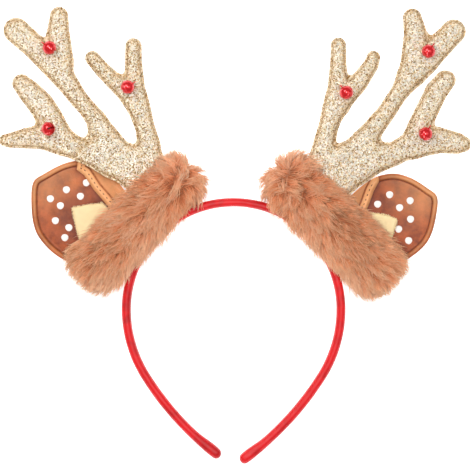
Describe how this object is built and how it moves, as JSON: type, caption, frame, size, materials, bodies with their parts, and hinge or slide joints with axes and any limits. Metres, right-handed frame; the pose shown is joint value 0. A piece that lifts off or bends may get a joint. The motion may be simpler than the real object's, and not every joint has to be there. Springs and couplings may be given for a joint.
{
  "type": "reindeer antler headband",
  "caption": "Red hoop headband with padded glitter antlers, jingle bells, spotted leather ears and fur cuffs, lying on its back.",
  "frame": {"origin": "centre of the footprint, on the surface that the headband's back lies on", "axes": "+X to the right of the front view, +Y from the hoop's tips to the antlers, +Z out of the front"},
  "size_m": [0.283, 0.2744, 0.0337],
  "materials": {
    "satin_red": "red satin ribbon over a padded hoop",
    "glitter_gold": "champagne glitter cloth, stitched near the edge",
    "leather_brown": "smooth brown imitation leather with white spots and a stitched hem",
    "felt_cream": "cream felt",
    "fur_tan": "dense tan imitation fur",
    "bell_red": "glossy red lacquer",
    "steel": "plain steel ball inside a bell"
  },
  "bodies": {
    "root": {"band": "satin_red", "antler_left": "glitter_gold", "antler_right": "glitter_gold", "ear_left": "leather_brown", "ear_right": "leather_brown", "ear_patch_left": "felt_cream", "ear_patch_right": "felt_cream", "fur_cuff_left": "fur_tan", "fur_cuff_right": "fur_tan", "bell_left_upper": "bell_red", "bell_left_inner": "bell_red", "bell_left_outer": "bell_red", "bell_right_upper": "bell_red", "bell_right_inner": "bell_red", "bell_right_outer": "bell_red", "pellet_left_upper": "steel", "pellet_left_inner": "steel", "pellet_left_outer": "steel", "pellet_right_upper": "steel", "pellet_right_inner": "steel", "pellet_right_outer": "steel"}
  },
  "joints": []
}
